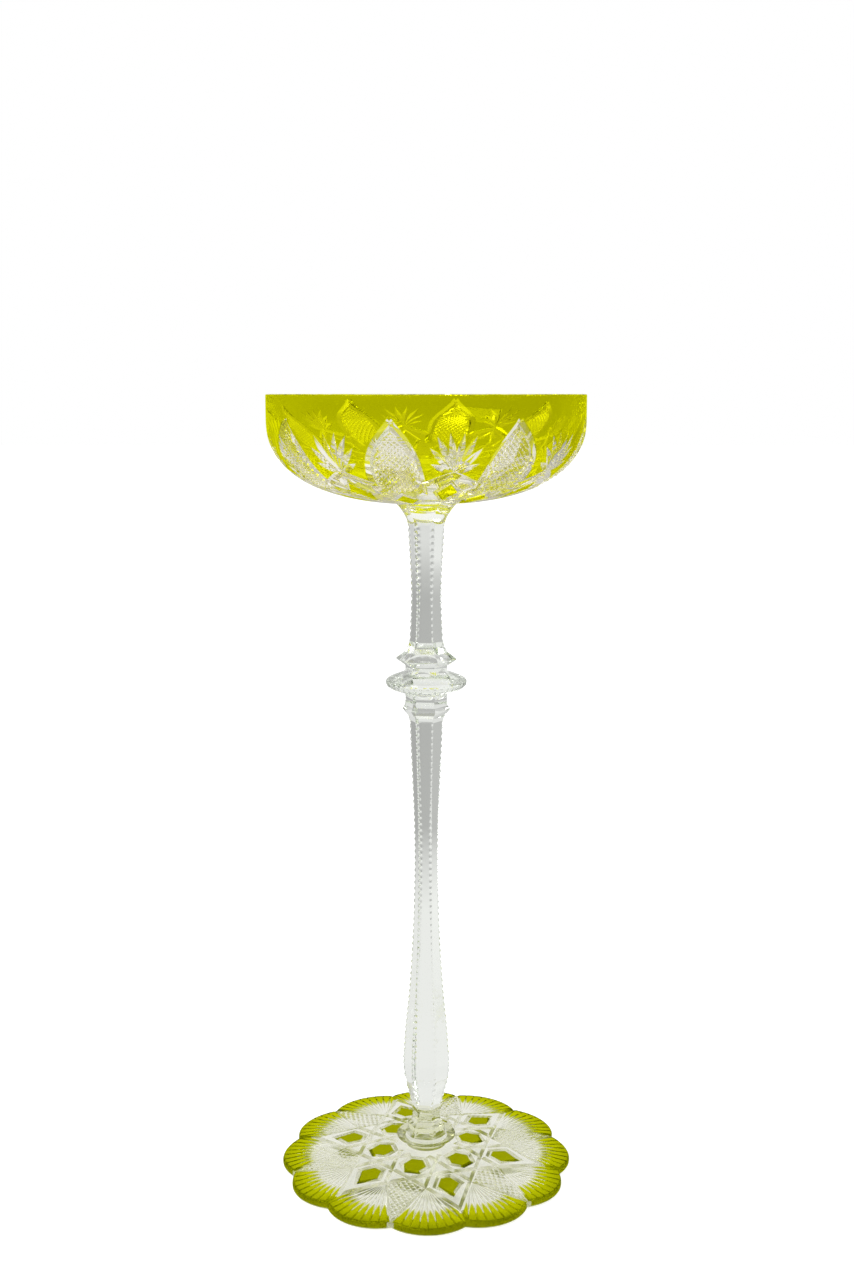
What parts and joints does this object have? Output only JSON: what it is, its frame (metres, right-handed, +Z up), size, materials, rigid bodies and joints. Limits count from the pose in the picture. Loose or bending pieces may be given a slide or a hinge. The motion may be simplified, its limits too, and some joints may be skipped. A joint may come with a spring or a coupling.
{
  "type": "champagne coupe",
  "caption": "Tall champagne coupe of clear cut crystal with a wide shallow bowl, a notched hexagonal stem with knops and a scalloped foot, cased in lime glass cut through in arches and fans.",
  "frame": {"origin": "centre of the foot's underside", "axes": "+Z up along the stem, -Y towards the front"},
  "size_m": [0.1098, 0.1098, 0.2815],
  "materials": {
    "crystal": "clear polished crystal, cut facets sharp and bright",
    "lime_casing": "transparent yellow-green glass layer, polished"
  },
  "bodies": {
    "root": {"foot_crystal": "crystal", "foot_button": "crystal", "foot_stub": "crystal", "lower_stem": "crystal", "lower_ring": "crystal", "knop_disc": "crystal", "upper_ring": "crystal", "upper_stem": "crystal", "bowl_collar": "crystal", "bowl_crystal": "crystal", "bowl_casing": "lime_casing", "bowl_hub_lozenge_1": "lime_casing", "bowl_hub_lozenge_2": "lime_casing", "bowl_hub_lozenge_3": "lime_casing", "bowl_hub_lozenge_4": "lime_casing", "bowl_hub_lozenge_5": "lime_casing", "bowl_hub_lozenge_6": "lime_casing", "bowl_hub_lozenge_7": "lime_casing", "bowl_hub_lozenge_8": "lime_casing", "bowl_base_lozenge_1": "lime_casing", "bowl_base_lozenge_2": "lime_casing", "bowl_base_lozenge_3": "lime_casing", "bowl_base_lozenge_4": "lime_casing", "bowl_base_lozenge_5": "lime_casing", "bowl_base_lozenge_6": "lime_casing", "bowl_base_lozenge_7": "lime_casing", "bowl_base_lozenge_8": "lime_casing", "foot_hexagon_1": "lime_casing", "foot_hexagon_2": "lime_casing", "foot_hexagon_3": "lime_casing", "foot_hexagon_4": "lime_casing", "foot_hexagon_5": "lime_casing", "foot_hexagon_6": "lime_casing", "foot_lozenge_1": "lime_casing", "foot_lozenge_2": "lime_casing", "foot_lozenge_3": "lime_casing", "foot_lozenge_4": "lime_casing", "foot_lozenge_5": "lime_casing", "foot_lozenge_6": "lime_casing", "foot_lobe_1": "lime_casing", "foot_lobe_2": "lime_casing", "foot_lobe_3": "lime_casing", "foot_lobe_4": "lime_casing", "foot_lobe_5": "lime_casing", "foot_lobe_6": "lime_casing", "foot_lobe_7": "lime_casing", "foot_lobe_8": "lime_casing", "foot_lobe_9": "lime_casing", "foot_lobe_10": "lime_casing", "foot_lobe_11": "lime_casing", "foot_lobe_12": "lime_casing"}
  },
  "joints": []
}
